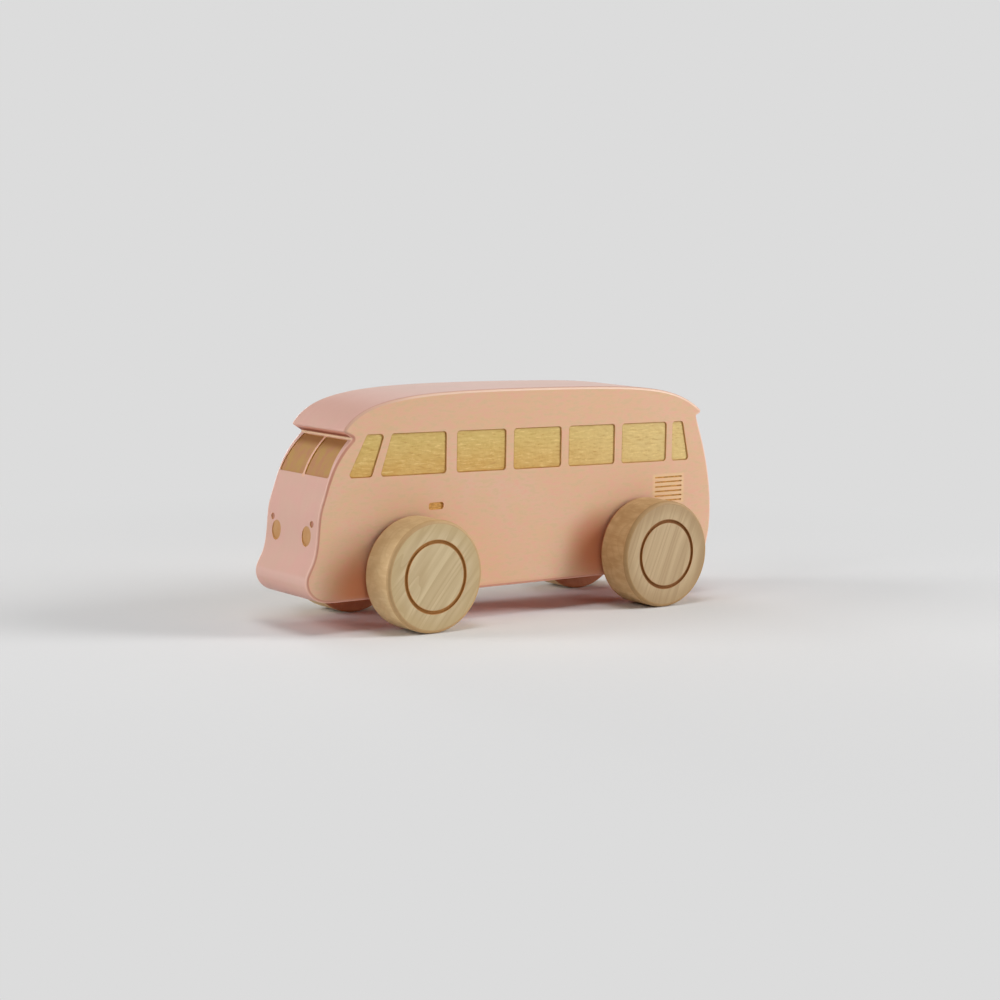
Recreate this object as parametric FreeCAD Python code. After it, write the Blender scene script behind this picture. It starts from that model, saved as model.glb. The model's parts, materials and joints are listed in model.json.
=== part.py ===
import FreeCAD, Part
import math
import os

# Wooden toy bus: a solid block body that rolls on two dowel axles, with a wheel glued on each end.
# Millimetres. +X is the front, +Y the left side, +Z up. The origin is on the ground,
# under the middle of the bus.

# Driving dimensions of the whole toy
wheelbase = 100.0
front_overhang = 40.8
rear_overhang = 33.9
body_width = 32.8
body_height = 68.3
ride_height = 10.7
edge_radius = 0.9

# Wheels and axles
wheel_diameter = 38.0
wheel_width = 14.3
wheel_edge_radius = 1.2
wheel_side_gap = 0.8
ring_diameter = 23.7
ring_groove_width = 1.1
ring_groove_depth = 0.5
axle_diameter = 6.0
axle_play = 0.08
axle_seat_depth = 9.0
axle_end_gap = 0.2
axle_chamfer = 0.5
overrun = 2.0

# Side windows: one row, cut into both sides, that climbs a little towards the front
window_row_front_margin = 15.6
window_row_rear_margin = 11.4
window_sill_height = 40.2
window_height = 14.3
window_row_rise = 1.7
window_depth = 0.6
window_corner_radius = 1.2
plain_window_count = 4
window_post = 3.2
cab_post = 4.2
rear_post = 2.7
quarter_post_top = 2.8
quarter_window_sill = 9.5
quarter_window_top = 7.1
quarter_window_lean = 7.5
cab_window_sill = 26.9
rear_window_sill = 8.2
rear_window_lean = 3.2

# Door handle and air vents, on both sides
handle_length = 6.1
handle_height = 2.5
handle_drop = 9.6
handle_inset = 1.0
handle_corner_radius = 0.9
handle_depth = 0.5
vent_count = 6
vent_length = 12.6
vent_slot_height = 0.55
vent_pitch = 1.69
vent_drop = 5.8
vent_rear_margin = 14.6
vent_depth = 0.4

# Windscreen of two panes, and the lamps of the front
pane_depth = 0.4
pane_sill_half_width = 15.1
pane_top_half_width = 13.7
pane_post = 1.1
pane_foot_height = 41.2
pane_top_height = 53.3
pane_corner_radius = 0.7
headlamp_spacing = 18.8
headlamp_width = 5.5
headlamp_height = 6.7
headlamp_level = 21.8
headlamp_depth = 0.3
marker_spacing = 24.4
marker_diameter = 2.2
marker_level = 26.1
marker_depth = 0.3

# Rear window and tail lamps
back_pane_width = 24.0
back_pane_foot = 41.0
back_pane_top = 52.0
back_pane_corner_radius = 1.4
tail_lamp_spacing = 22.0
tail_lamp_diameter = 4.4
tail_lamp_level = 24.0

# Eaves: the tips of the roof and the inner corners under them
eave_front_tip_radius = 0.5
eave_rear_tip_radius = 0.9
eave_root_radius = 0.5

# How near an edge lies to the line that it is looked up by, and the share of its length that
# runs along a direction that it is taken to follow
edge_match = 0.08
parallel_share = 0.999

# Side outline of the block: the control points of its three curves, as shares of its length from
# the back and of its height above the underside
nose_shares = (
    (0.941, 0.000),
    (0.985, 0.000),
    (1.013, 0.124),
    (0.977, 0.197),
    (0.975, 0.427),
    (0.965, 0.486),
    (0.952, 0.596),
    (0.930, 0.714),
    (0.897, 0.789),
)
roof_shares = (
    (0.920, 0.826),
    (0.899, 0.900),
    (0.835, 0.976),
    (0.656, 1.006),
    (0.357, 0.996),
    (0.127, 0.978),
    (0.057, 0.893),
    (0.029, 0.832),
)
back_shares = (
    (0.046, 0.813),
    (0.033, 0.715),
    (0.024, 0.678),
    (-0.014, 0.269),
    (0.017, 0.000),
    (0.051, 0.000),
)

# Places that follow from the dimensions
body_length = rear_overhang + wheelbase + front_overhang
front_x = body_length / 2
rear_x = -body_length / 2
front_axle_x = front_x - front_overhang
rear_axle_x = rear_x + rear_overhang
axle_height = wheel_diameter / 2
side_y = body_width / 2
wheel_inner_y = side_y + wheel_side_gap
wheel_outer_y = wheel_inner_y + wheel_width
left = FreeCAD.Vector(0, 1, 0)
forward = FreeCAD.Vector(1, 0, 0)


def place(share_x, share_z, y=0):
    """A point of the side outline."""
    return FreeCAD.Vector(rear_x + share_x * body_length, y, ride_height + share_z * body_height)


def curve(shares):
    """A smooth curve drawn by its control points, in the plane of the right side."""
    line = Part.BSplineCurve()
    line.buildFromPoles([place(x, z, -side_y) for x, z in shares])
    return line.toShape()


def joined(first, second):
    """A straight edge from the end of one outline point to the next."""
    return Part.makeLine(place(*first, -side_y), place(*second, -side_y))


def block_outline():
    """The closed side outline, on the right side of the block."""
    edges = [
        curve(nose_shares),
        joined(nose_shares[-1], roof_shares[0]),
        curve(roof_shares),
        joined(roof_shares[-1], back_shares[0]),
        curve(back_shares),
        joined(back_shares[-1], nose_shares[0]),
    ]
    return Part.Wire(edges)


def cross_edges(shape, corner):
    """The edges of the block that run across it at an outline corner."""
    at = place(*corner)
    found = []
    for edge in shape.Edges:
        ends = [vertex.Point for vertex in (edge.Vertexes[0], edge.Vertexes[-1])]
        if all(math.hypot(end.x - at.x, end.z - at.z) < edge_match for end in ends):
            found.append(edge)
    return found


def side_edges(shape):
    """The edges that bound the two flat sides."""
    found = []
    for edge in shape.Edges:
        box = edge.BoundBox
        if box.YLength < edge_match and abs(abs(box.Center.y) - side_y) < edge_match:
            found.append(edge)
    return found


def sawn_block():
    """The block as it is sawn out, with sharp edges."""
    return Part.Face(block_outline()).extrude(left * body_width)


def plain_block():
    """The sawn block with its eaves and side edges sanded round."""
    block = sawn_block()
    block = block.makeFillet(eave_front_tip_radius, cross_edges(block, roof_shares[0]))
    block = block.makeFillet(eave_rear_tip_radius, cross_edges(block, roof_shares[-1]))
    roots = cross_edges(block, nose_shares[-1]) + cross_edges(block, back_shares[0])
    block = block.makeFillet(eave_root_radius, roots)
    return block.makeFillet(edge_radius, side_edges(block))


def rounded_prism(corners, direction, radius):
    """A prism on a polygon, with the edges along its direction rounded."""
    prism = Part.Face(Part.makePolygon(corners + corners[:1])).extrude(direction)
    along = FreeCAD.Vector(direction).normalize()
    edges = []
    for edge in prism.Edges:
        run = (edge.Vertexes[-1].Point - edge.Vertexes[0].Point).normalize()
        if abs(run.dot(along)) > parallel_share:
            edges.append(edge)
    return prism.makeFillet(radius, edges)


def mirrored(shape):
    """The same shape on the other side of the bus."""
    return shape.mirror(FreeCAD.Vector(0, 0, 0), left)


def side_recess(corners, depth, radius):
    """Cutters for one recess, drawn in X and Z, on both sides of the block."""
    floor_y = side_y - depth
    points = [FreeCAD.Vector(x, floor_y, z) for x, z in corners]
    cutter = rounded_prism(points, left * (depth + overrun), radius)
    return [cutter, mirrored(cutter)]


def row_level(x, height):
    """Level of a line of the window row at x, for its height above the underside at mid length."""
    return ride_height + height + window_row_rise * x / body_length


def window(foot_back, foot_front, top_back, top_front):
    """The four corners of a side window."""
    sill = window_sill_height
    top = sill + window_height
    return [
        (foot_back, row_level(foot_back, sill)),
        (foot_front, row_level(foot_front, sill)),
        (top_front, row_level(top_front, top)),
        (top_back, row_level(top_back, top)),
    ]


def window_row():
    """The corners of the side windows, from the front to the back."""
    row_front = front_x - window_row_front_margin
    row_back = rear_x + window_row_rear_margin
    quarter_back = row_front - quarter_window_sill
    quarter_top_front = row_front - quarter_window_lean
    quarter_top_back = quarter_top_front - quarter_window_top
    windows = [window(quarter_back, row_front, quarter_top_back, quarter_top_front)]
    cab_front = quarter_back - window_post
    cab_back = cab_front - cab_window_sill
    windows.append(window(cab_back, cab_front, cab_back, quarter_top_back - quarter_post_top))
    plain_front = cab_back - cab_post
    rear_front = row_back + rear_window_sill
    plain_back = rear_front + rear_post
    posts = (plain_window_count - 1) * window_post
    plain_length = (plain_front - plain_back - posts) / plain_window_count
    for number in range(plain_window_count):
        start = plain_front - number * (plain_length + window_post)
        windows.append(window(start - plain_length, start, start - plain_length, start))
    windows.append(window(row_back, rear_front, row_back + rear_window_lean, rear_front))
    return windows


def window_cutters():
    cutters = []
    for corners in window_row():
        cutters += side_recess(corners, window_depth, window_corner_radius)
    return cutters


def box_corners(back, front, low, high):
    return [(back, low), (front, low), (front, high), (back, high)]


def handle_cutters():
    """The door handle, under the back of the cab window, which is the second of the row."""
    cab_foot_back = window_row()[1][0]
    back = cab_foot_back[0] + handle_inset
    high = row_level(back, window_sill_height - handle_drop)
    corners = box_corners(back, back + handle_length, high - handle_height, high)
    return side_recess(corners, handle_depth, handle_corner_radius)


def vent_cutters():
    """A stack of air slots with round ends, under the rear windows."""
    cutters = []
    back = rear_x + vent_rear_margin
    for number in range(vent_count):
        middle = row_level(back, window_sill_height - vent_drop - number * vent_pitch)
        low = middle - vent_slot_height / 2
        corners = box_corners(back, back + vent_length, low, low + vent_slot_height)
        cutters += side_recess(corners, vent_depth, vent_slot_height / 3)
    return cutters


def surface_x(block, level, at_front):
    """Where the middle of the block's front or back lies at a level above the underside."""
    z = ride_height + level
    reach = front_x + overrun if at_front else rear_x - overrun
    ray = Part.makeLine(FreeCAD.Vector(0, 0, z), FreeCAD.Vector(reach, 0, z))
    inside = block.common(ray).BoundBox
    return inside.XMax if at_front else inside.XMin


def round_lamp(block, y, level, width, height, depth, at_front):
    """Cutter for an upright oval lamp in the front or back."""
    face_x = surface_x(block, level, at_front)
    out = forward if at_front else forward * -1
    centre = FreeCAD.Vector(face_x, y, ride_height + level) - out * depth
    disc = Part.Face(Part.Wire([Part.makeCircle(width / 2, centre, out)]))
    stretch = FreeCAD.Matrix()
    stretch.move(centre * -1)
    stretch.scale(1, 1, height / width)
    stretch.move(centre)
    oval = disc if height == width else disc.transformGeometry(stretch)
    return oval.extrude(out * (depth + overrun))


def lamp_cutters(block):
    cutters = []
    for side in (1, -1):
        cutters.append(round_lamp(block, side * headlamp_spacing / 2, headlamp_level,
                                  headlamp_width, headlamp_height, headlamp_depth, True))
        cutters.append(round_lamp(block, side * marker_spacing / 2, marker_level,
                                  marker_diameter, marker_diameter, marker_depth, True))
        cutters.append(round_lamp(block, side * tail_lamp_spacing / 2, tail_lamp_level,
                                  tail_lamp_diameter, tail_lamp_diameter, headlamp_depth, False))
    return cutters


def sloped_pane(block, foot, top, edges, radius, at_front):
    """Cutter for one pane that follows the curve of the front or back at an even depth."""
    foot_x = surface_x(block, foot, at_front)
    top_x = surface_x(block, top, at_front)
    run = FreeCAD.Vector(top_x - foot_x, 0, top - foot)
    out = run.cross(left) if not at_front else left.cross(run)
    out.normalize()
    low_start, low_end, high_start, high_end = edges
    sunk = out * -(pane_depth + overrun)
    corners = [
        FreeCAD.Vector(foot_x, low_start, ride_height + foot) + sunk,
        FreeCAD.Vector(foot_x, low_end, ride_height + foot) + sunk,
        FreeCAD.Vector(top_x, high_end, ride_height + top) + sunk,
        FreeCAD.Vector(top_x, high_start, ride_height + top) + sunk,
    ]
    prism = rounded_prism(corners, out * (pane_depth + 2 * overrun), radius)
    sunk_block = sawn_block()
    sunk_block.translate(out * -pane_depth)
    return prism.cut(sunk_block)


def pane_cutters(block):
    near = pane_post / 2
    right_pane = sloped_pane(block, pane_foot_height, pane_top_height,
                             (near, pane_sill_half_width, near, pane_top_half_width),
                             pane_corner_radius, True)
    half = back_pane_width / 2
    back_pane = sloped_pane(block, back_pane_foot, back_pane_top,
                            (-half, half, -half, half), back_pane_corner_radius, False)
    return [right_pane, mirrored(right_pane), back_pane]


def axle_bore(x):
    radius = axle_diameter / 2 + axle_play
    start = FreeCAD.Vector(x, -side_y - overrun, axle_height)
    return Part.makeCylinder(radius, body_width + 2 * overrun, start, left)


def body_block():
    """The finished block: sanded, engraved on all sides and bored for the axles."""
    block = plain_block()
    cutters = window_cutters() + handle_cutters() + vent_cutters()
    cutters += lamp_cutters(block) + pane_cutters(block)
    cutters += [axle_bore(front_axle_x), axle_bore(rear_axle_x)]
    return block.cut(Part.makeCompound(cutters))


def axle(x):
    """A dowel with broken ends, as long as its two glued seats allow."""
    reach = wheel_inner_y + axle_seat_depth - axle_end_gap
    start = FreeCAD.Vector(x, -reach, axle_height)
    rod = Part.makeCylinder(axle_diameter / 2, 2 * reach, start, left)
    ends = [e for e in rod.Edges if e.isClosed()]
    return rod.makeChamfer(axle_chamfer, ends)


def wheel(x, side):
    """A turned wheel with a burnt ring in its face and a blind seat for the axle."""
    radius = wheel_diameter / 2
    disc = Part.makeCylinder(radius, wheel_width, FreeCAD.Vector(x, wheel_inner_y, axle_height), left)
    rims = [e for e in disc.Edges if e.isClosed()]
    disc = disc.makeFillet(wheel_edge_radius, rims)
    seat = Part.makeCylinder(axle_diameter / 2, axle_seat_depth,
                             FreeCAD.Vector(x, wheel_inner_y, axle_height), left)
    floor = FreeCAD.Vector(x, wheel_outer_y - ring_groove_depth, axle_height)
    ring_radius = ring_diameter / 2
    half = ring_groove_width / 2
    ring = Part.makeCylinder(ring_radius + half, ring_groove_depth + overrun, floor, left)
    ring = ring.cut(Part.makeCylinder(ring_radius - half, ring_groove_depth + overrun, floor, left))
    disc = disc.cut(seat).cut(ring)
    return disc if side > 0 else mirrored(disc)


def save(name, shape):
    solid = shape.Solids[0] if len(shape.Solids) == 1 else shape
    solid.exportStep("parts/" + name + ".step")
    box = solid.optimalBoundingBox()
    print(name, len(shape.Solids), solid.isValid(), round(solid.Volume, 1),
          [round(v, 2) for v in (box.XMin, box.XMax, box.YMin, box.YMax, box.ZMin, box.ZMax)])


os.makedirs("parts", exist_ok=True)
save("body_block", body_block())
for end, x in (("front", front_axle_x), ("rear", rear_axle_x)):
    save(end + "_axle", axle(x))
    save(end + "_left_wheel", wheel(x, 1))
    save(end + "_right_wheel", wheel(x, -1))
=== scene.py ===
import json
import math

import bmesh
import bpy
from mathutils import Matrix, Vector, noise
from mathutils.geometry import delaunay_2d_cdt


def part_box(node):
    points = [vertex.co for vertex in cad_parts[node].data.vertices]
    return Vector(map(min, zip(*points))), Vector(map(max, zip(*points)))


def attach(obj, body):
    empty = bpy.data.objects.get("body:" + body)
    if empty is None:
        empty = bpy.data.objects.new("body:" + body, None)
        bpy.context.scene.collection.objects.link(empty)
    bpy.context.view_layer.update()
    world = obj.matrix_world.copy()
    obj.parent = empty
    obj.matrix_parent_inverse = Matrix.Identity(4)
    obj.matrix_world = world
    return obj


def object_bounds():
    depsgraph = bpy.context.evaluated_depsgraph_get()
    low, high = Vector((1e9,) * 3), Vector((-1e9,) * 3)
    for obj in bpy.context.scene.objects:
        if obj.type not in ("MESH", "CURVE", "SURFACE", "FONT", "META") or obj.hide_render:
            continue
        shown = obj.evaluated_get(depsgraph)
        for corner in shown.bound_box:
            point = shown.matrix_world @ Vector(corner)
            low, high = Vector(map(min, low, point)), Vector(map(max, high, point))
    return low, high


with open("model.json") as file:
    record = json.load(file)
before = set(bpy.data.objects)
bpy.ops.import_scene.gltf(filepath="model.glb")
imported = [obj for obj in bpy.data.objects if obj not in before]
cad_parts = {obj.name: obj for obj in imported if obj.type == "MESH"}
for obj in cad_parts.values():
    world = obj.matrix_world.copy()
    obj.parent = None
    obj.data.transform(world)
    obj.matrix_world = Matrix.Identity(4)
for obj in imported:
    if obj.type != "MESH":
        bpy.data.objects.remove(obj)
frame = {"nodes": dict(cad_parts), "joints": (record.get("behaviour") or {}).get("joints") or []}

# Wooden toy bus: the finish of its stained block, its engravings, its gold windows and its pale
# wheels, in a plain studio. Metres. +X is the front, +Y the left side, +Z up.

cad_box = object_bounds()
mm = 0.001
near = 0.05 * mm

# The photograph's view
image_side = 1000
focal_pixels = 2336
sensor_width = 36.0
view_azimuth = math.radians(36.61)
view_elevation = math.radians(7.186)
view_roll = math.radians(0.889)
view_distance = 0.8262
view_right = -0.31 * mm
view_up = 18.93 * mm

# The block, as packed
block_low, block_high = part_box("body_block")
side_y = block_high.y
window_depth = 0.6 * mm
edge_radius = 0.9 * mm
eave_low = 60 * mm
eave_high = 65 * mm
eave_strip = 1 * mm
pane_level = 50 * mm
marker_size = 3 * mm
vent_back = -72.9 * mm
vent_front = -60.0 * mm
vent_low = 35.4 * mm
vent_high = 44.9 * mm
pane_low = 51.3 * mm
pane_high = 64.2 * mm
pane_post = 1.1 * mm
front_axle, rear_axle = (Vector(joint["pos_m"]) for joint in frame["joints"])
middle = (front_axle + rear_axle) / 2

# The wheels, as packed
groove_inner = 11.2 * mm
groove_outer = 12.5 * mm
groove_middle = 11.85 * mm
groove_reach = 0.6 * mm
least_tread = 5 * mm

# Where one tone passes into another, from and to: heights above the floor
nose_highlight_band = (17.5 * mm, 19 * mm)
nose_shade_band = (16 * mm, 13.5 * mm)
screen_edge = (45 * mm, 52 * mm)
gold_heights = (52 * mm, 64 * mm)
painted_pane_shadow = (60.2 * mm, 62.6 * mm)
roof_edge = (65.5 * mm, 67.5 * mm)
roof_coat = (66 * mm, 76 * mm)

# The same, along the bus
gold_highlight_lengths = (10 * mm, -75 * mm)
roof_sheen_fade = (25 * mm, 62 * mm)
roof_highlight_fade = (40 * mm, 62 * mm)
eave_tip = (71.0 * mm, 72.4 * mm)
back_edge = (-78 * mm, -80 * mm)

# The same, from other places: above the block's base, from the middle of a painted shade in front
# of an axle, from a wheel's middle, and from the middle of its ring groove
base_edge = (0.1 * mm, 0.6 * mm)
low_side = (0.9 * mm, 2.2 * mm)
shade_ahead = 20 * mm
shade_reach = (3 * mm, 18 * mm)
front_shade_rise = -5 * mm
rear_shade_rise = 1 * mm
wheel_rim = (12.5 * mm, 17.8 * mm)
scorch = (0.6 * mm, 0.82 * mm)


def tint(red, green, blue):
    """A colour given in display values from 0 to 255, as the linear colour that a shader takes."""
    linear = []
    for value in (red, green, blue):
        share = value / 255
        if share <= 0.04045:
            linear.append(share / 12.92)
        else:
            linear.append(((share + 0.055) / 1.055) ** 2.4)
    return (*linear, 1.0)


class Finish:
    """A material in the making: its nodes are made and joined by short calls."""

    def __init__(self, name):
        self.material = bpy.data.materials.new(name)
        self.material.use_nodes = True
        self.nodes = self.material.node_tree.nodes
        self.links = self.material.node_tree.links
        self.shader = self.nodes["Principled BSDF"]

    def give(self, socket, value):
        """Joins the socket to another socket, or sets it to a plain value."""
        if isinstance(value, bpy.types.NodeSocket):
            self.links.new(value, socket)
        else:
            socket.default_value = value

    def surface(self, **values):
        """Sets the shader's own sockets, named with _ for a space."""
        for name, value in values.items():
            self.give(self.shader.inputs[name.replace("_", " ")], value)

    def calc(self, operation, first, second=0.0):
        """One sum of two values, or of the first alone."""
        node = self.nodes.new("ShaderNodeMath")
        node.operation = operation
        self.give(node.inputs[0], first)
        self.give(node.inputs[1], second)
        return node.outputs[0]

    def steps(self, value, start, end, low=0.0, high=1.0):
        """The value, taken smoothly from low at start to high at end."""
        node = self.nodes.new("ShaderNodeMapRange")
        node.interpolation_type = "SMOOTHSTEP"
        self.give(node.inputs["Value"], value)
        self.give(node.inputs["From Min"], start)
        self.give(node.inputs["From Max"], end)
        self.give(node.inputs["To Min"], low)
        self.give(node.inputs["To Max"], high)
        return node.outputs["Result"]

    def inside(self, value, low, high, soft):
        """1 where the value lies between low and high, and softly 0 past them."""
        rise = self.steps(value, low - soft, low)
        return self.calc("MULTIPLY", rise, self.steps(value, high, high + soft, 1.0, 0.0))

    def blend(self, share, first, second):
        """The first colour, with that share of the second."""
        node = self.nodes.new("ShaderNodeMix")
        node.data_type = "RGBA"
        self.give(node.inputs[0], share)
        self.give(node.inputs[6], first)
        self.give(node.inputs[7], second)
        return node.outputs[2]

    def place(self, centre=(0, 0, 0), turn=(0, 0, 0)):
        """The point of the surface, from a centre, turned back by three angles."""
        where = self.nodes.new("ShaderNodeTexCoord")
        node = self.nodes.new("ShaderNodeMapping")
        node.vector_type = "TEXTURE"
        node.inputs["Location"].default_value = centre
        node.inputs["Rotation"].default_value = turn
        self.links.new(where.outputs["Object"], node.inputs["Vector"])
        return node.outputs["Vector"]

    def axes(self, vector):
        """The X, Y and Z of a point."""
        node = self.nodes.new("ShaderNodeSeparateXYZ")
        self.links.new(vector, node.inputs[0])
        return node.outputs

    def cloud(self, vector, size, detail=2.0, roughness=0.5, seed=0.0):
        """Soft noise from 0 to 1 whose blots have that size along X, Y and Z."""
        node = self.nodes.new("ShaderNodeVectorMath")
        node.operation = "MULTIPLY_ADD"
        self.links.new(vector, node.inputs[0])
        node.inputs[1].default_value = [1 / length for length in size]
        node.inputs[2].default_value = (seed, seed * 1.7, seed * 0.6)
        texture = self.nodes.new("ShaderNodeTexNoise")
        texture.inputs["Scale"].default_value = 1.0
        texture.inputs["Detail"].default_value = detail
        texture.inputs["Roughness"].default_value = roughness
        self.links.new(node.outputs[0], texture.inputs["Vector"])
        return texture.outputs[0]

    def relief(self, height, depth):
        """Bump from a height from 0 to 1 that stands for that depth in metres."""
        node = self.nodes.new("ShaderNodeBump")
        node.inputs["Strength"].default_value = 1.0
        node.inputs["Distance"].default_value = depth
        self.give(node.inputs["Height"], height)
        self.give(self.shader.inputs["Normal"], node.outputs[0])


def fibres(finish, spot, seed):
    """Fine wood fibres along X, from 0 to 1."""
    coarse = finish.cloud(spot, (9 * mm, 0.9 * mm, 0.45 * mm), 3.0, 0.6, seed)
    fine = finish.cloud(spot, (3 * mm, 0.25 * mm, 0.16 * mm), 2.0, 0.6, seed + 3)
    return finish.calc("ADD", finish.calc("MULTIPLY", coarse, 0.6), finish.calc("MULTIPLY", fine, 0.4))


def distance_in_plane(finish, axes, across, level):
    """How far the surface lies from a line along Y at that place in X and Z."""
    ahead = finish.calc("SUBTRACT", axes[0], across)
    above = finish.calc("SUBTRACT", axes[2], level)
    squares = [finish.calc("MULTIPLY", run, run) for run in (ahead, above)]
    return finish.calc("SQRT", finish.calc("ADD", *squares))


def above_base(heights):
    """Heights above the block's base, as heights above the floor."""
    return [block_low.z + height for height in heights]


def stained_side():
    """The peach stain of the flat sides: faint pink and yellow blots over fine fibres, gold that
    has spread between the air slots and, on the left side, a painted shade in front of each wheel."""
    finish = Finish("stained_side")
    spot = finish.place()
    axes = finish.axes(spot)
    fibre = fibres(finish, spot, 1.0)
    blot = finish.cloud(spot, (9 * mm, 9 * mm, 6 * mm), 3.0, 0.6, 5.0)
    broad = finish.cloud(spot, (70 * mm, 70 * mm, 35 * mm), 1.0, 0.5, 11.0)
    colour = finish.blend(finish.steps(blot, 0.3, 0.7), tint(223, 179, 151), tint(220, 180, 141))
    colour = finish.blend(finish.steps(broad, 0.35, 0.65, 0.0, 0.6), colour, tint(222, 175, 136))
    colour = finish.blend(finish.steps(fibre, 0.3, 0.7, 0.0, 0.25), colour, tint(226, 186, 155))
    fleck = finish.cloud(spot, (3.2 * mm, 2 * mm, 1.3 * mm), 2.0, 0.6, 23.0)
    colour = finish.blend(finish.steps(fleck, 0.5, 0.7, 0.0, 0.7), colour, tint(227, 171, 146))
    colour = finish.blend(finish.steps(fleck, 0.5, 0.3, 0.0, 0.7), colour, tint(213, 180, 140))
    beside = finish.calc("MULTIPLY", finish.inside(axes[0], vent_back, vent_front, 1.6 * mm),
                         finish.inside(axes[2], vent_low, vent_high, 1.2 * mm))
    colour = finish.blend(finish.calc("MULTIPLY", beside, 0.5), colour, tint(240, 204, 148))
    # Painted shade: a darker, redder tone on the left side in front of each wheel stands in for the
    # shadow that the wheel casts on the side.
    painted_wheel_shades = (
        (front_axle, front_shade_rise, tint(202, 118, 74)),
        (rear_axle, rear_shade_rise, tint(192, 106, 64)),
    )
    on_left = finish.steps(axes[1], 0.0, 1 * mm)
    for axle, rise, shade in painted_wheel_shades:
        away = distance_in_plane(finish, axes, axle.x + shade_ahead, axle.z + rise)
        share = finish.calc("MULTIPLY", finish.steps(away, *shade_reach, 0.85, 0.0), on_left)
        colour = finish.blend(share, colour, shade)
    low = finish.steps(axes[2], *above_base(low_side), 0.3, 0.0)
    colour = finish.blend(low, colour, tint(212, 148, 124))
    finish.surface(Base_Color=colour, Roughness=0.6, IOR=1.42)
    finish.relief(fibre, 0.006 * mm)
    return finish.material


def satin_coat():
    """The pink satin coat of the sawn outline, with soft patches: greyer and darker on the roof and
    deeper at the roof's front end, partly painted light and sheen; paler on the post between the two
    panes, with a painted highlight across the nose and painted shade below it."""
    finish = Finish("satin_coat")
    spot = finish.place()
    along, across, height = finish.axes(spot)
    streak = finish.cloud(spot, (26 * mm, 1.6 * mm, 12 * mm), 3.0, 0.5, 2.0)
    blot = finish.cloud(spot, (8 * mm, 7 * mm, 7 * mm), 2.0, 0.5, 7.0)
    patch = finish.steps(blot, 0.3, 0.7)
    front = finish.blend(patch, tint(206, 158, 144), tint(203, 162, 144))
    # Partly painted light: the roof's greyer, darker tone and its deeper front end stand in for how
    # light and sheen fall on one coat.
    roof = finish.blend(patch, tint(196, 153, 137), tint(192, 153, 135))
    roof = finish.blend(finish.steps(along, *roof_sheen_fade, 0.0, 0.8), roof, tint(204, 150, 132))
    colour = finish.blend(finish.steps(height, *roof_coat), front, roof)
    colour = finish.blend(finish.steps(streak, 0.3, 0.7, 0.0, 0.15), colour, tint(210, 168, 152))
    beside = finish.calc("ABSOLUTE", across)
    post = finish.calc("MULTIPLY", finish.inside(height, pane_low, pane_high, 0.5 * mm),
                       finish.steps(beside, pane_post / 2, pane_post, 0.8, 0.0))
    post = finish.calc("MULTIPLY", post, finish.steps(along, 0.0, 1 * mm))
    colour = finish.blend(post, colour, tint(217, 168, 138))
    # Painted highlight across the nose, where its curve turns to the light.
    nose = finish.inside(height, *nose_highlight_band, 1.5 * mm)
    colour = finish.blend(finish.calc("MULTIPLY", nose, 0.3), colour, tint(222, 184, 174))
    # Painted shade on the lower nose.
    below = finish.steps(height, *nose_shade_band, 0.0, 0.6)
    colour = finish.blend(below, colour, tint(196, 148, 136))
    finish.surface(Base_Color=colour, Roughness=0.38, IOR=1.45)
    finish.relief(blot, 0.01 * mm)
    return finish.material


def pale_highlight_line():
    """The pale line between the windscreen and the eave: a painted highlight on the strip of coat
    there.
    """
    finish = Finish("pale_highlight_line")
    grain = finish.cloud(finish.place(), (2 * mm, 3 * mm, 0.6 * mm), 2.0, 0.5, 3.0)
    finish.surface(Base_Color=finish.blend(grain, tint(226, 192, 158), tint(218, 182, 148)),
                   Roughness=0.5)
    finish.relief(grain, 0.01 * mm)
    return finish.material


def eave_underside():
    """The underside of the eaves: red-brown inside as painted shade, and pink like the coat towards the
    front tip.
    """
    finish = Finish("eave_underside")
    spot = finish.place()
    grain = finish.cloud(spot, (3 * mm, 6 * mm, 3 * mm), 2.0, 0.5, 6.0)
    # Painted shade: the red-brown stands in for the shadow under the eaves.
    colour = finish.blend(grain, tint(150, 76, 52), tint(140, 70, 46))
    tip = finish.steps(finish.axes(spot)[0], *eave_tip)
    finish.surface(Base_Color=finish.blend(tip, colour, tint(222, 158, 138)), Roughness=0.55)
    finish.relief(grain, 0.01 * mm)
    return finish.material


def stained_base():
    """The deep red-brown of the underside, in faint fibres."""
    finish = Finish("stained_base")
    spot = finish.place()
    fibre = fibres(finish, spot, 15.0)
    colour = finish.blend(finish.steps(fibre, 0.3, 0.7), tint(222, 112, 74), tint(230, 126, 84))
    finish.surface(Base_Color=colour, Roughness=0.65)
    finish.relief(fibre, 0.02 * mm)
    return finish.material


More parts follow.
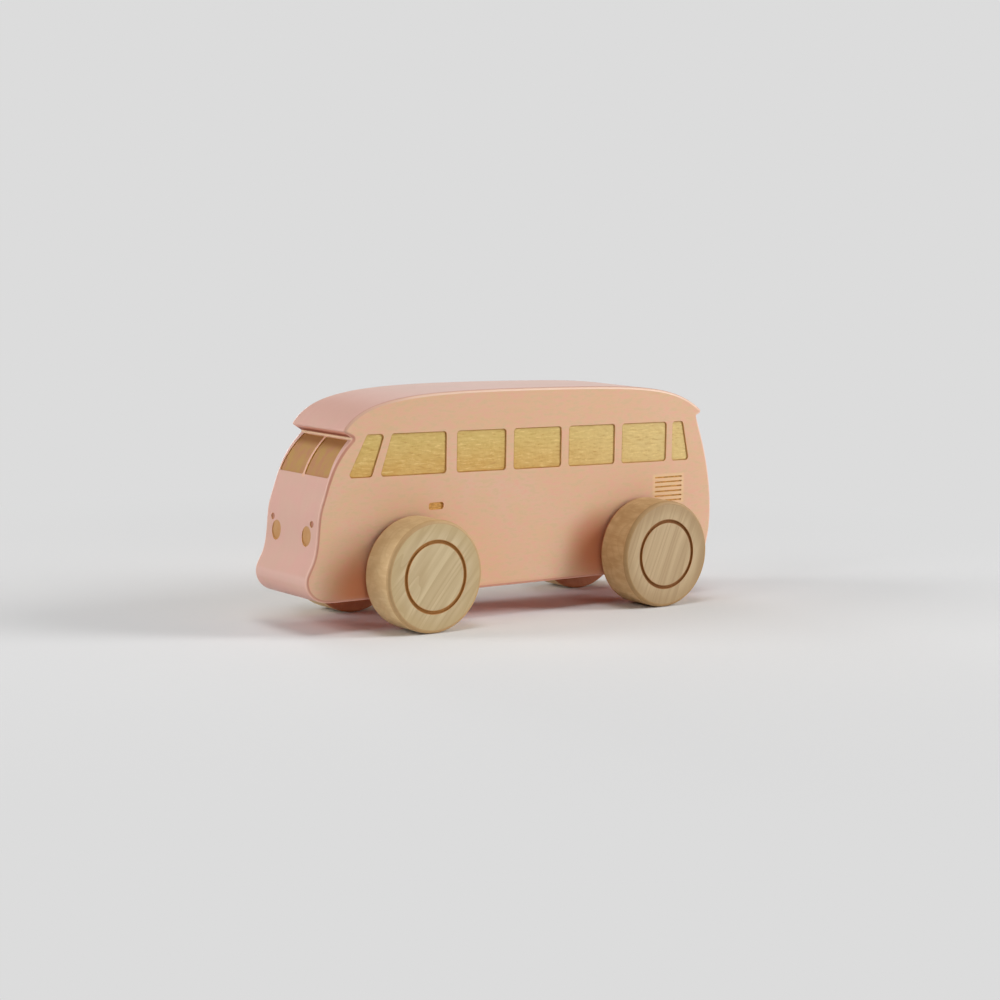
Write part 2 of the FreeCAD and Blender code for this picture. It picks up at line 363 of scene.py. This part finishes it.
def rounded_edge():
    """The sanded edge between the coat and the sides, with its highlights and shade painted into its
    colour. Below the eaves it is a painted highlight beside the coat and a painted rose shade beside
    the side, wider beside the windscreen. On the roof it passes from the coat to a painted highlight
    line beside the side, which fades towards the front end. At the back it is pale all over."""
    finish = Finish("rounded_edge")
    spot = finish.place()
    along, across, height = finish.axes(spot)
    inward = finish.calc("SUBTRACT", side_y, finish.calc("ABSOLUTE", across))
    wear = finish.cloud(spot, (6 * mm, 6 * mm, 6 * mm), 2.0, 0.5, 4.0)
    # Painted highlight: the pale line along the roof's edge stands in for the light that the rounding
    # catches.
    roof_edge_highlight = finish.blend(finish.steps(along, *roof_highlight_fade), tint(230, 194, 168), tint(214, 172, 147))
    roof = finish.blend(finish.steps(inward, 0.5 * mm, 0.2 * mm), tint(201, 152, 136), roof_edge_highlight)
    # Painted highlight and shade below the eaves: pale beside the coat, rose beside the side.
    reach = finish.steps(height, *screen_edge, 0.35 * mm, 0.8 * mm)
    painted_edge_shade = finish.steps(inward, reach, finish.calc("MULTIPLY", reach, 0.25))
    body = finish.blend(painted_edge_shade, tint(222, 178, 160), tint(203, 142, 119))
    colour = finish.blend(finish.steps(height, *roof_edge), body, roof)
    at_back = finish.steps(along, *back_edge)
    colour = finish.blend(at_back, colour, tint(230, 188, 168))
    base = finish.steps(height, *above_base(base_edge), 0.7, 0.0)
    colour = finish.blend(base, colour, tint(222, 158, 136))
    colour = finish.blend(finish.steps(wear, 0.35, 0.75, 0.0, 0.25), colour, tint(222, 174, 150))
    finish.surface(Base_Color=colour, Roughness=0.4, IOR=1.42)
    finish.relief(wear, 0.01 * mm)
    return finish.material


def burnt_wall():
    """The scorched walls of the engravings."""
    finish = Finish("burnt_wall")
    spot = finish.place()
    char = finish.cloud(spot, (0.8 * mm, 0.5 * mm, 0.5 * mm), 2.0, 0.5, 3.0)
    colour = finish.blend(finish.steps(char, 0.35, 0.65), tint(212, 162, 102), tint(222, 172, 112))
    finish.surface(Base_Color=colour, Roughness=0.8)
    finish.relief(char, 0.03 * mm)
    return finish.material


def ring_groove(name, light, dark):
    """The burnt ring of a wheel."""
    finish = Finish(name)
    char = finish.cloud(finish.place(), (0.9 * mm, 0.6 * mm, 0.9 * mm), 2.0, 0.5, 21.0)
    colour = finish.blend(finish.steps(char, 0.3, 0.7), light, dark)
    finish.surface(Base_Color=colour, Roughness=0.8)
    finish.relief(char, 0.03 * mm)
    return finish.material


def pane_brown():
    """The matt brown panes, with the eave's shadow painted as a darker band just under the eaves."""
    finish = Finish("pane_brown")
    spot = finish.place()
    height = finish.axes(spot)[2]
    mottle = finish.cloud(spot, (5 * mm, 2.5 * mm, 4 * mm), 3.0, 0.6, 8.0)
    colour = finish.blend(finish.steps(mottle, 0.35, 0.65), tint(171, 132, 72), tint(172, 121, 82))
    # Painted shade: the darker band at the top stands in for the eave's shadow.
    top = finish.steps(height, *painted_pane_shadow)
    colour = finish.blend(top, colour, tint(144, 94, 42))
    finish.surface(Base_Color=colour, Roughness=0.75)
    finish.relief(mottle, 0.04 * mm)
    return finish.material


def lamp_brown():
    """The tan lamps, more orange in patches."""
    finish = Finish("lamp_brown")
    mottle = finish.cloud(finish.place(), (2 * mm, 2 * mm, 2 * mm), 3.0, 0.6, 13.0)
    colour = finish.blend(finish.steps(mottle, 0.3, 0.7), tint(182, 131, 76), tint(186, 140, 91))
    finish.surface(Base_Color=colour, Roughness=0.7)
    finish.relief(mottle, 0.04 * mm)
    return finish.material


def marker_rose():
    """The rosy brown marker lamps."""
    finish = Finish("marker_rose")
    mottle = finish.cloud(finish.place(), (1 * mm, 1 * mm, 1 * mm), 2.0, 0.5, 17.0)
    colour = finish.blend(mottle, tint(168, 110, 86), tint(178, 122, 96))
    finish.surface(Base_Color=colour, Roughness=0.7)
    finish.relief(mottle, 0.03 * mm)
    return finish.material


def gold_groove():
    """The gold in the door handles and air slots, browner in patches."""
    finish = Finish("gold_groove")
    mottle = finish.cloud(finish.place(), (1.6 * mm, 1.0 * mm, 0.7 * mm), 3.0, 0.6, 19.0)
    colour = finish.blend(finish.steps(mottle, 0.35, 0.65), tint(230, 176, 92), tint(196, 142, 66))
    finish.surface(Base_Color=colour, Roughness=0.6, IOR=1.4)
    finish.relief(mottle, 0.04 * mm)
    return finish.material


def growth_lines(finish, spot, seed):
    """Year rings cut along the grain, from 0 to 1: each darkens slowly and ends sharply."""
    rings = finish.cloud(spot, (90 * mm, 16 * mm, 9 * mm), 1.0, 0.4, seed)
    phase = finish.calc("FRACT", finish.calc("MULTIPLY", rings, 11.0))
    return finish.steps(phase, 0.45, 0.97)


def bare_wood(name, light, dark, turn, centre, seed, rim=None, burnt=None):
    """Unstained wood: broad bands, year rings and fibres that run along X before the turn. A
    wheel's face also has a browner rim, and is scorched beside its ring groove."""
    finish = Finish(name)
    spot = finish.place(centre, turn)
    fibre = fibres(finish, spot, seed)
    band = finish.cloud(spot, (60 * mm, 9 * mm, 2.6 * mm), 2.0, 0.5, seed + 2)
    colour = finish.blend(finish.steps(band, 0.35, 0.65, 0.0, 0.5), light, dark)
    lines = finish.calc("MULTIPLY", growth_lines(finish, spot, seed + 1), 0.6)
    colour = finish.blend(lines, colour, dark)
    colour = finish.blend(finish.steps(fibre, 0.35, 0.75, 0.0, 0.3), colour, dark)
    if rim:
        away = distance_in_plane(finish, finish.axes(finish.place(centre)), 0.0, 0.0)
        colour = finish.blend(finish.steps(away, *wheel_rim, 0.0, 0.55), colour, rim)
        beside = finish.calc("ABSOLUTE", finish.calc("SUBTRACT", away, groove_middle))
        colour = finish.blend(finish.steps(beside, *scorch, 0.9, 0.0), colour, burnt)
    finish.surface(Base_Color=colour, Roughness=0.6)
    finish.relief(fibre, 0.02 * mm)
    return finish.material


def wheel_tread(name, light, dark, turn, centre, seed):
    """The turned rim of a wheel: mottled, with the year rings of its face and short tool marks."""
    finish = Finish(name)
    spot = finish.place()
    lines = growth_lines(finish, finish.place(centre, turn), seed + 1)
    mottle = finish.cloud(spot, (2.4 * mm, 7 * mm, 2.4 * mm), 3.0, 0.6, seed)
    mark = finish.cloud(spot, (0.5 * mm, 5 * mm, 0.5 * mm), 2.0, 0.5, seed + 1)
    colour = finish.blend(finish.steps(mottle, 0.25, 0.75, 0.15, 0.85), light, dark)
    colour = finish.blend(finish.calc("MULTIPLY", lines, 0.4), colour, dark)
    colour = finish.blend(finish.steps(mark, 0.5, 0.8, 0.0, 0.5), colour, dark)
    finish.surface(Base_Color=colour, Roughness=0.6)
    finish.relief(mark, 0.03 * mm)
    return finish.material


def wheel_back_painted_shade(name):
    """The inner face of a wheel, painted red-brown for the shade that falls on it beside the block."""
    finish = Finish(name)
    mottle = finish.cloud(finish.place(), (4 * mm, 4 * mm, 4 * mm), 3.0, 0.6, 25.0)
    # Painted shade: the red-brown stands in for the shade and red bounce under the block.
    colour = finish.blend(finish.steps(mottle, 0.3, 0.7), tint(178, 112, 70), tint(166, 98, 57))
    finish.surface(Base_Color=colour, Roughness=0.65)
    finish.relief(mottle, 0.02 * mm)
    return finish.material


def gold_fill():
    """Gold paint over torn fibres in the side windows: greener above, more orange below, paler
    toward the back as a painted highlight, with bright streaks that are partly painted glints, and
    browner beside their walls."""
    finish = Finish("gold_fill")
    spot = finish.place()
    along, _, height = finish.axes(spot)
    streak = finish.cloud(spot, (3.4 * mm, 2 * mm, 0.55 * mm), 3.0, 0.65, 9.0)
    blot = finish.cloud(spot, (6 * mm, 6 * mm, 4 * mm), 2.0, 0.5, 12.0)
    rim = finish.nodes.new("ShaderNodeAttribute")
    rim.attribute_name = "rim"
    upper = finish.steps(height, *gold_heights)
    colour = finish.blend(upper, tint(207, 162, 84), tint(208, 178, 102))
    # Painted highlight: paler toward the back, where the windows catch more light.
    behind = finish.steps(along, *gold_highlight_lengths)
    colour = finish.blend(behind, colour, tint(216, 188, 124))
    colour = finish.blend(finish.steps(blot, 0.3, 0.7, 0.0, 0.35), colour, tint(222, 190, 118))
    colour = finish.blend(finish.steps(streak, 0.54, 0.74, 0.0, 0.65), colour, tint(186, 138, 68))
    # Partly painted glint: the bright streaks stand in for light caught by the gold's fibres.
    colour = finish.blend(finish.steps(streak, 0.46, 0.28, 0.0, 0.6), colour, tint(238, 210, 140))
    colour = finish.blend(finish.steps(rim.outputs["Fac"], 0.1 * mm, 0.6 * mm, 0.5, 0.0),
                          colour, tint(176, 120, 58))
    finish.surface(Base_Color=colour, Roughness=0.6, IOR=1.4)
    finish.relief(streak, 0.06 * mm)
    return finish.material


def patches(mesh):
    """The mesh's faces in groups that share corners, one for each face of the solid."""
    links = list(range(len(mesh.vertices)))

    def root(vertex):
        while links[vertex] != vertex:
            links[vertex] = links[links[vertex]]
            vertex = links[vertex]
        return vertex

    for edge in mesh.edges:
        first, second = (root(vertex) for vertex in edge.vertices)
        links[first] = second
    groups = {}
    for polygon in mesh.polygons:
        groups.setdefault(root(polygon.vertices[0]), []).append(polygon)
    return list(groups.values())


def patch_box(mesh, group):
    """The lowest and highest corner of a group of faces, and the way that it looks on average."""
    corners = [mesh.vertices[vertex].co for polygon in group for vertex in polygon.vertices]
    low = Vector([min(corner[axis] for corner in corners) for axis in range(3)])
    high = Vector([max(corner[axis] for corner in corners) for axis in range(3)])
    area = sum(polygon.area for polygon in group)
    out = sum((polygon.normal * polygon.area for polygon in group), Vector()) / area
    return low, high, out


def block_part(low, high, out):
    """What a face of the block is, from where it lies and how far it looks along an axis."""
    down = -0.5
    forward = 0.5
    square = 0.7
    outer = max(abs(low.y), abs(high.y))
    inner = min(abs(low.y), abs(high.y))
    tall = high.z - low.z
    if high.y - low.y < near:
        if outer > side_y - near:
            return "side"
        return "gold"
    if outer > side_y - near:
        if low.y * high.y < 0:
            return "bore"
        return "wall" if inner > side_y - (window_depth + edge_radius) / 2 else "edge"
    if high.y - low.y > 2 * (side_y - edge_radius) - near:
        if out.z < down:
            return "eave" if low.z > middle.z else "base"
        # The strip under the front eave takes the painted highlight.
        under_eave = tall < eave_strip and eave_low < low.z < eave_high
        return "pale" if out.x > forward and under_eave else "coat"
    if abs(out.x) < square:
        return "wall"
    if low.z > pane_level:
        return "pane"
    return "lamp" if tall > marker_size else "marker"


def finish_node(node, materials, part_of):
    """Gives each face of a node the material of the part that it belongs to."""
    mesh = node.data
    mesh.materials.clear()
    slots = {}
    for name, material in materials.items():
        slots[name] = len(mesh.materials)
        mesh.materials.append(material)
    for group in patches(mesh):
        part = part_of(*patch_box(mesh, group))
        for polygon in group:
            polygon.material_index = slots[part]


def wheel_part(low, high, out):
    """What a face of a wheel is: the ring groove lies between its two radii, below the face."""
    sideways = 0.5
    outer = max(abs(low.y), abs(high.y))
    reach = (high.x - low.x) / 2
    face_y = cad_box[1].y
    deep = high.y - low.y
    if groove_inner < reach < groove_outer and outer > face_y - groove_reach:
        if abs(out.y) < sideways:
            return "groove_wall"
        if outer < face_y - near:
            return "groove_floor"
    if outer < face_y - least_tread:
        return "back"
    if reach > groove_outer and deep > near:
        return "tread" if deep > least_tread else "shoulder"
    return "wood"


def boundary(mesh, group):
    """The corners round a group of faces, in order."""
    seen = {}
    for polygon in group:
        for edge in polygon.edge_keys:
            seen[edge] = seen.get(edge, 0) + 1
    following = {}
    for edge, count in seen.items():
        if count == 1:
            for first, second in (edge, edge[::-1]):
                following.setdefault(first, []).append(second)
    start = next(iter(following))
    loop = [start]
    previous = None
    while True:
        onward = [vertex for vertex in following[loop[-1]] if vertex != previous]
        previous = loop[-1]
        if onward[0] == start:
            return [mesh.vertices[vertex].co.copy() for vertex in loop]
        loop.append(onward[0])


def edge_distance(point, loop):
    """How far a point of the plane lies from a closed loop of points."""
    best = 1.0
    for number, start in enumerate(loop):
        run = loop[number - 1] - start
        share = max(0.0, min(1.0, (point - start).dot(run) / max(run.length_squared, 1e-12)))
        best = min(best, (point - start - run * share).length)
    return best


def window_fill(name, loop, side):
    """The gold in one side window: a thin closed skin with torn fibres that run along the bus."""
    step_x = 0.6 * mm
    step_z = 0.22 * mm
    stagger = 0.5
    first_column = 0.25
    skin = 0.06 * mm
    tallest = 0.24 * mm
    fibre_length = 3.5 * mm
    fibre_height = 0.8 * mm
    rim_slope = 0.4 * mm
    weld = 1e-7
    floor_y = abs(loop[0].y)
    outline = [Vector((corner.x, corner.z)) for corner in loop]
    low = Vector((min(p.x for p in outline), min(p.y for p in outline)))
    high = Vector((max(p.x for p in outline), max(p.y for p in outline)))
    points = list(outline)
    for row in range(int((high.y - low.y) / step_z)):
        for column in range(int((high.x - low.x) / step_x)):
            shift = stagger if row % 2 else 0.0
            point = low + Vector(((column + shift + first_column) * step_x, (row + 0.5) * step_z))
            if edge_distance(point, outline) > step_z / 2:
                points.append(point)
    count = len(outline)
    result = delaunay_2d_cdt(points, [(i, (i + 1) % count) for i in range(count)], [], 1, weld)
    flat, faces = result[0], result[2]
    mesh = bpy.data.meshes.new(name)
    build = bmesh.new()
    rim_layer = build.verts.layers.float.new("rim")
    front = []
    back = []
    for point in flat:
        rim = edge_distance(point, outline)
        where = Vector((point.x / fibre_length, point.y / fibre_height, floor_y * side))
        torn = noise.fractal(where, 0.6, 2.0, 4)
        height = skin + tallest * max(0.0, min(1.0, 0.5 + 0.6 * torn)) * min(1.0, rim / rim_slope)
        vertex = build.verts.new((point.x, side * (floor_y + height), point.y))
        vertex[rim_layer] = rim
        front.append(vertex)
        under = build.verts.new((point.x, side * (floor_y - skin), point.y))
        under[rim_layer] = rim
        back.append(under)
    edges = {}
    for face in faces:
        build.faces.new([front[i] for i in face]).smooth = True
        build.faces.new([back[i] for i in reversed(face)])
        for first, second in zip(face, face[1:] + face[:1]):
            edges[(first, second)] = True
    for first, second in edges:
        if (second, first) not in edges:
            build.faces.new([front[second], front[first], back[first], back[second]])
    bmesh.ops.recalc_face_normals(build, faces=build.faces)
    build.to_mesh(mesh)
    build.free()
    piece = bpy.data.objects.new(name, mesh)
    bpy.context.scene.collection.objects.link(piece)
    return piece


def fill_windows():
    """A gold skin on the floor of each side window, numbered from the front."""
    material = gold_fill()
    mesh = frame["nodes"]["body_block"].data
    floors = []
    for group in patches(mesh):
        low, high, out = patch_box(mesh, group)
        if high.y - low.y < near and abs(abs(low.y) - side_y + window_depth) < near:
            floors.append((out.y < 0, -high.x, group))
    floors.sort(key=lambda floor: floor[:2])
    per_side = len(floors) // 2
    for number, (right, _, group) in enumerate(floors):
        name = f"gold_window_{'right' if right else 'left'}_{number % per_side + 1}"
        piece = window_fill(name, boundary(mesh, group), -1 if right else 1)
        piece.data.materials.append(material)
        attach(piece, "bus_body")


def finish_block():
    """The block's materials, one for each kind of face."""
    straight = (0, 0, 0)
    origin = (0, 0, 0)
    materials = {
        "side": stained_side(),
        "coat": satin_coat(),
        "pale": pale_highlight_line(),
        "eave": eave_underside(),
        "base": stained_base(),
        "edge": rounded_edge(),
        "wall": burnt_wall(),
        "pane": pane_brown(),
        "lamp": lamp_brown(),
        "marker": marker_rose(),
        "gold": gold_groove(),
        "bore": bare_wood("bore_wood", tint(205, 175, 135), tint(180, 145, 105), straight, origin, 2.0),
    }
    finish_node(frame["nodes"]["body_block"], materials, block_part)


def finish_wheels():
    """Each wheel's own piece of wood: the slope of its grain, and the tones of its face, tread,
    rim and burnt ring, light before dark."""
    front = {
        "wood": (tint(208, 188, 147), tint(180, 154, 112)),
        "tread": (tint(216, 189, 141), tint(195, 162, 115)),
        # The shoulder's darker tones paint the shade on the rounded edge between tread and face.
        "shoulder": (tint(192, 157, 108), tint(182, 146, 98)),
        "rim": tint(186, 159, 111),
        "groove_wall": (tint(194, 134, 66), tint(180, 122, 56)),
        "groove_floor": (tint(164, 112, 48), tint(152, 102, 42)),
    }
    rear = {
        "wood": (tint(196, 170, 131), tint(168, 139, 99)),
        "tread": (tint(208, 176, 130), tint(178, 141, 92)),
        # The shoulder's darker tones paint the shade on the rounded edge between tread and face.
        "shoulder": (tint(174, 140, 92), tint(164, 128, 82)),
        "rim": tint(158, 126, 82),
        "groove_wall": (tint(166, 110, 48), tint(154, 100, 38)),
        "groove_floor": (tint(134, 82, 28), tint(122, 74, 22)),
    }
    woods = {
        "front_left": (52, front),
        "front_right": (30, front),
        "rear_left": (68, rear),
        "rear_right": (-20, rear),
    }
    for number, (corner, (angle, tones)) in enumerate(woods.items()):
        name = corner + "_wheel"
        low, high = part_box(name)
        centre = (low + high) / 2
        turn = (0, math.radians(angle), 0)
        seed = 10.0 + 4 * number
        materials = {
            "wood": bare_wood(name + "_face", *tones["wood"], turn, centre, seed,
                              tones["rim"], tones["groove_wall"][1]),
            "tread": wheel_tread(name + "_tread", *tones["tread"], turn, centre, seed),
            "shoulder": wheel_tread(name + "_shoulder", *tones["shoulder"], turn, centre, seed),
            "back": wheel_back_painted_shade(name + "_back"),
            "groove_wall": ring_groove(name + "_groove_wall", *tones["groove_wall"]),
            "groove_floor": ring_groove(name + "_groove_floor", *tones["groove_floor"]),
        }
        finish_node(frame["nodes"][name], materials, wheel_part)


def finish_axles():
    """Bare dowels, with the grain along them."""
    wood = bare_wood("dowel_wood", tint(200, 172, 130), tint(176, 144, 102),
                     (0, 0, math.radians(90)), (0, 0, 0), 30.0)
    for name in ("front_axle", "rear_axle"):
        mesh = frame["nodes"][name].data
        mesh.materials.clear()
        mesh.materials.append(wood)


def pale_ray(nodes, links):
    """1 for a ray that sees the backdrop, in the camera or in gloss or glass, and 0 for light."""
    path = nodes.new("ShaderNodeLightPath")
    seen = path.outputs["Is Camera Ray"]
    for kind in ("Is Glossy Ray", "Is Transmission Ray"):
        node = nodes.new("ShaderNodeMath")
        node.operation = "MAXIMUM"
        links.new(seen, node.inputs[0])
        links.new(path.outputs[kind], node.inputs[1])
        seen = node.outputs[0]
    return seen


backdrop = tint(220, 220, 220)
floor_half = 4.0
floor_fade = (0.14, 0.34)
fill_light = 0.075
lamp_distance = 1.3

# Each lamp's name, its turn from the camera towards the bus's front and its height in degrees, its
# size, and the share of full light that it gives a surface facing it
lamps = [
    ("right_box", -90, 32, 0.49, 0.42),
    ("low_right_box", -90, 11, 0.46, 0.31),
    ("front_box", 45, 32, 0.49, 0.13),
    ("left_box", 81, 32, 0.49, 0.21),
    ("low_left_box", 81, 11, 0.46, 0.22),
    ("far_box", 150, 68, 0.60, 0.11),
    ("low_far_box", 150, 11, 0.46, 0.19),
    ("back_box", 180, 18, 0.60, 0.023),
    ("top_box", 0, 72, 0.57, 0.25),
]


def add_floor():
    """A plain pale floor that turns into the backdrop's own tone away from the bus. It throws back
    a little more light than it shows."""
    finish = Finish("pale_floor")
    spot = finish.place(middle)
    x, y, _ = finish.axes(spot)
    squares = [finish.calc("MULTIPLY", run, run) for run in (x, y)]
    away = finish.calc("SQRT", finish.calc("ADD", *squares))
    speck = finish.cloud(spot, (2 * mm, 2 * mm, 2 * mm), 2.0, 0.5, 1.0)
    seen = pale_ray(finish.nodes, finish.links)
    tone = finish.blend(speck, tint(227, 227, 227), tint(229, 229, 229))
    tone = finish.blend(seen, tint(246, 246, 246), tone)
    finish.surface(Base_Color=tone, Roughness=1.0, Specular_IOR_Level=0.0)
    glow = finish.nodes.new("ShaderNodeEmission")
    glow.inputs["Color"].default_value = backdrop
    mix = finish.nodes.new("ShaderNodeMixShader")
    share = finish.calc("MULTIPLY", finish.steps(away, *floor_fade), seen)
    finish.give(mix.inputs[0], share)
    finish.links.new(finish.shader.outputs[0], mix.inputs[1])
    finish.links.new(glow.outputs[0], mix.inputs[2])
    finish.links.new(mix.outputs[0], finish.nodes["Material Output"].inputs["Surface"])
    mesh = bpy.data.meshes.new("studio_floor")
    half = floor_half
    corners = [(-half, -half, 0), (half, -half, 0), (half, half, 0), (-half, half, 0)]
    mesh.from_pydata(corners, [], [(0, 1, 2, 3)])
    mesh.materials.append(finish.material)
    floor = bpy.data.objects.new("studio_floor", mesh)
    bpy.context.scene.collection.objects.link(floor)


def add_world():
    """A dim even light all round, with the backdrop's tone where it is seen."""
    world = bpy.data.worlds.new("studio")
    world.use_nodes = True
    bpy.context.scene.world = world
    nodes = world.node_tree.nodes
    links = world.node_tree.links
    light = nodes["Background"]
    light.inputs["Color"].default_value = (1, 1, 1, 1)
    light.inputs["Strength"].default_value = fill_light
    seen = nodes.new("ShaderNodeBackground")
    seen.inputs["Color"].default_value = backdrop
    mix = nodes.new("ShaderNodeMixShader")
    links.new(pale_ray(nodes, links), mix.inputs[0])
    links.new(light.outputs[0], mix.inputs[1])
    links.new(seen.outputs[0], mix.inputs[2])
    links.new(mix.outputs[0], nodes["World Output"].inputs["Surface"])


def add_lamp(name, turn, height, size, level):
    """A soft disk that faces the bus, turned round from the camera towards the bus's front, at a
    height in degrees. Its level is the share of full light that it gives a surface facing it."""
    across = view_azimuth + math.radians(turn)
    up = math.radians(height)
    way = Vector((math.sin(across) * math.cos(up), math.cos(across) * math.cos(up), math.sin(up)))
    light = bpy.data.lights.new(name, "AREA")
    light.shape = "DISK"
    light.size = size
    light.energy = level * (math.pi * lamp_distance) ** 2
    lamp = bpy.data.objects.new(name, light)
    lamp.location = middle + way * lamp_distance
    lamp.visible_camera = False
    lamp.rotation_mode = "QUATERNION"
    lamp.rotation_quaternion = way.to_track_quat("Z", "Y")
    bpy.context.scene.collection.objects.link(lamp)


def add_camera():
    """The photograph's view, a little rolled."""
    back = Vector((math.sin(view_azimuth) * math.cos(view_elevation),
                   math.cos(view_azimuth) * math.cos(view_elevation),
                   math.sin(view_elevation)))
    level_right = (-back).cross(Vector((0, 0, 1))).normalized()
    level_up = level_right.cross(-back)
    right = level_right * math.cos(view_roll) + level_up * math.sin(view_roll)
    up = level_up * math.cos(view_roll) - level_right * math.sin(view_roll)
    data = bpy.data.cameras.new("photo_camera")
    data.sensor_width = sensor_width
    data.lens = focal_pixels / image_side * sensor_width
    data.clip_start = 0.01
    data.clip_end = 20.0
    camera = bpy.data.objects.new("photo_camera", data)
    place = middle + back * view_distance + right * view_right + up * view_up
    matrix = Matrix((right, up, back)).transposed().to_4x4()
    matrix.translation = place
    camera.matrix_world = matrix
    bpy.context.scene.collection.objects.link(camera)
    bpy.context.scene.camera = camera


finish_block()
finish_wheels()
finish_axles()
fill_windows()
add_floor()
add_world()
for lamp in lamps:
    add_lamp(*lamp)
add_camera()
bpy.context.scene.view_settings.view_transform = "Standard"
